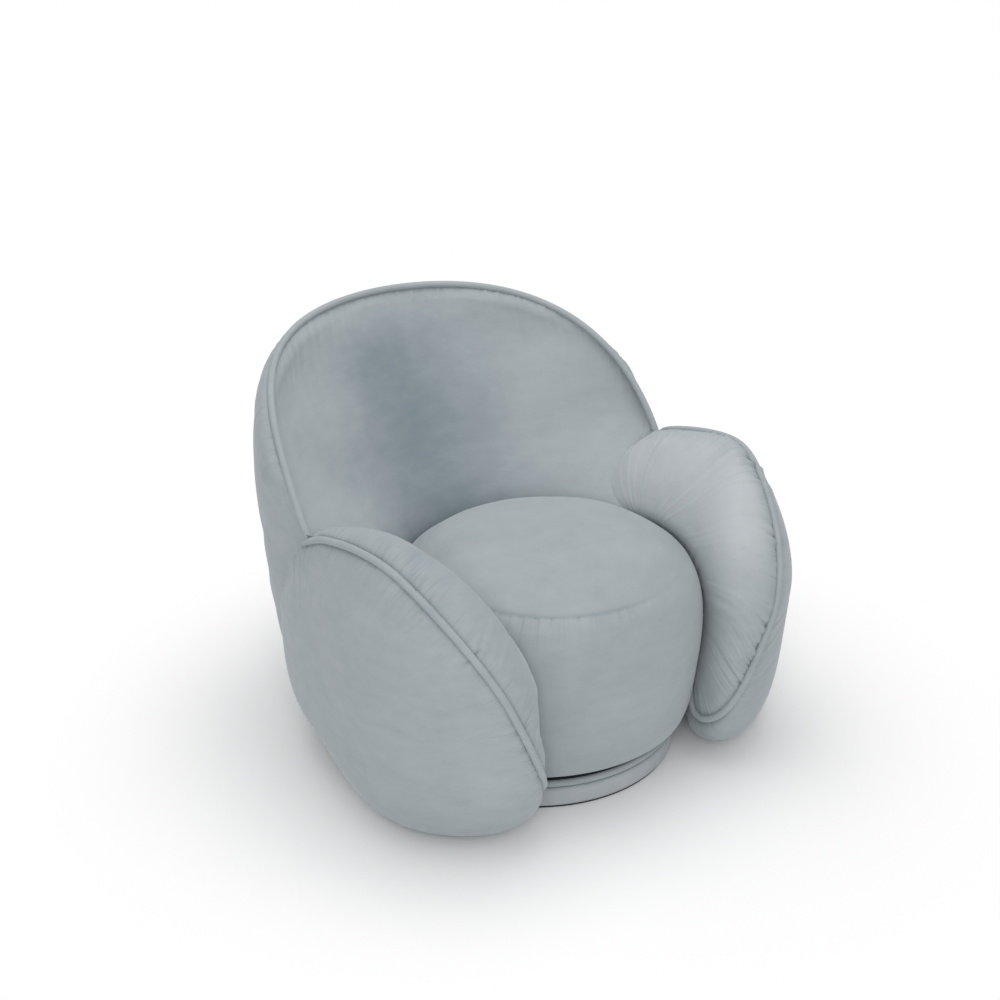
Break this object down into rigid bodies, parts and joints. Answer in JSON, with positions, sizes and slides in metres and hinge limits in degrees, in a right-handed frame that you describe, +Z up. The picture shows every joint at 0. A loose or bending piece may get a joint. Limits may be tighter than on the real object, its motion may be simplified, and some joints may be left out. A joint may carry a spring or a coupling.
{
  "type": "swivel armchair",
  "caption": "Low velvet swivel armchair: round pouf seat on a recessed turning plinth, wrapped by petal arms and a reclined tub back with welted edges.",
  "frame": {"origin": "on the floor, on the swivel axis under the middle of the plinth", "axes": "+Z up along the swivel axis, the sitter faces -Y, +X is the sitter's left"},
  "size_m": [0.9176, 0.8793, 0.7334],
  "materials": {
    "velvet": "soft cut pile",
    "dark_cloth": "felt",
    "webbing": "woven elastic",
    "foam": "open-cell foam",
    "plywood": "raw",
    "steel": "zinc plated",
    "cage_plastic": "moulded"
  },
  "bodies": {
    "base": {"base_felt": "dark_cloth", "plinth_floor_board": "plywood", "plinth_wall": "plywood", "plinth_top_board": "plywood", "plinth_cover": "velvet", "plinth_welt": "velvet", "swivel_lower_plate": "steel", "swivel_pin": "steel", "bearing_balls": "steel", "ball_cage": "cage_plastic", "plinth_screws": "steel"},
    "upper": {"swivel_upper_plate": "steel", "swivel_bolts": "steel", "swivel_spacer": "plywood", "seat_board": "plywood", "dust_cover": "dark_cloth", "seat_hoop": "plywood", "seat_webbing_cross": "webbing", "seat_webbing_long": "webbing", "seat_core_foam": "foam", "seat_border_pad": "velvet", "seat_top_pad": "velvet", "arm_bolts": "steel", "back_bolts": "steel", "back_board": "plywood", "back_ribs": "plywood", "back_rail": "plywood", "back_inner_pad": "velvet", "back_outer_pad": "velvet", "back_welt": "velvet", "left_arm_board": "plywood", "left_arm_inner_pad": "velvet", "left_arm_outer_pad": "velvet", "left_arm_welt": "velvet", "right_arm_board": "plywood", "right_arm_inner_pad": "velvet", "right_arm_outer_pad": "velvet", "right_arm_welt": "velvet"}
  },
  "joints": [
    {"name": "seat_swivel", "type": "hinge", "parent": "base", "child": "upper", "pos_m": [0, 0, 0.062], "axis": [0, 0, 1], "continuous": true}
  ]
}
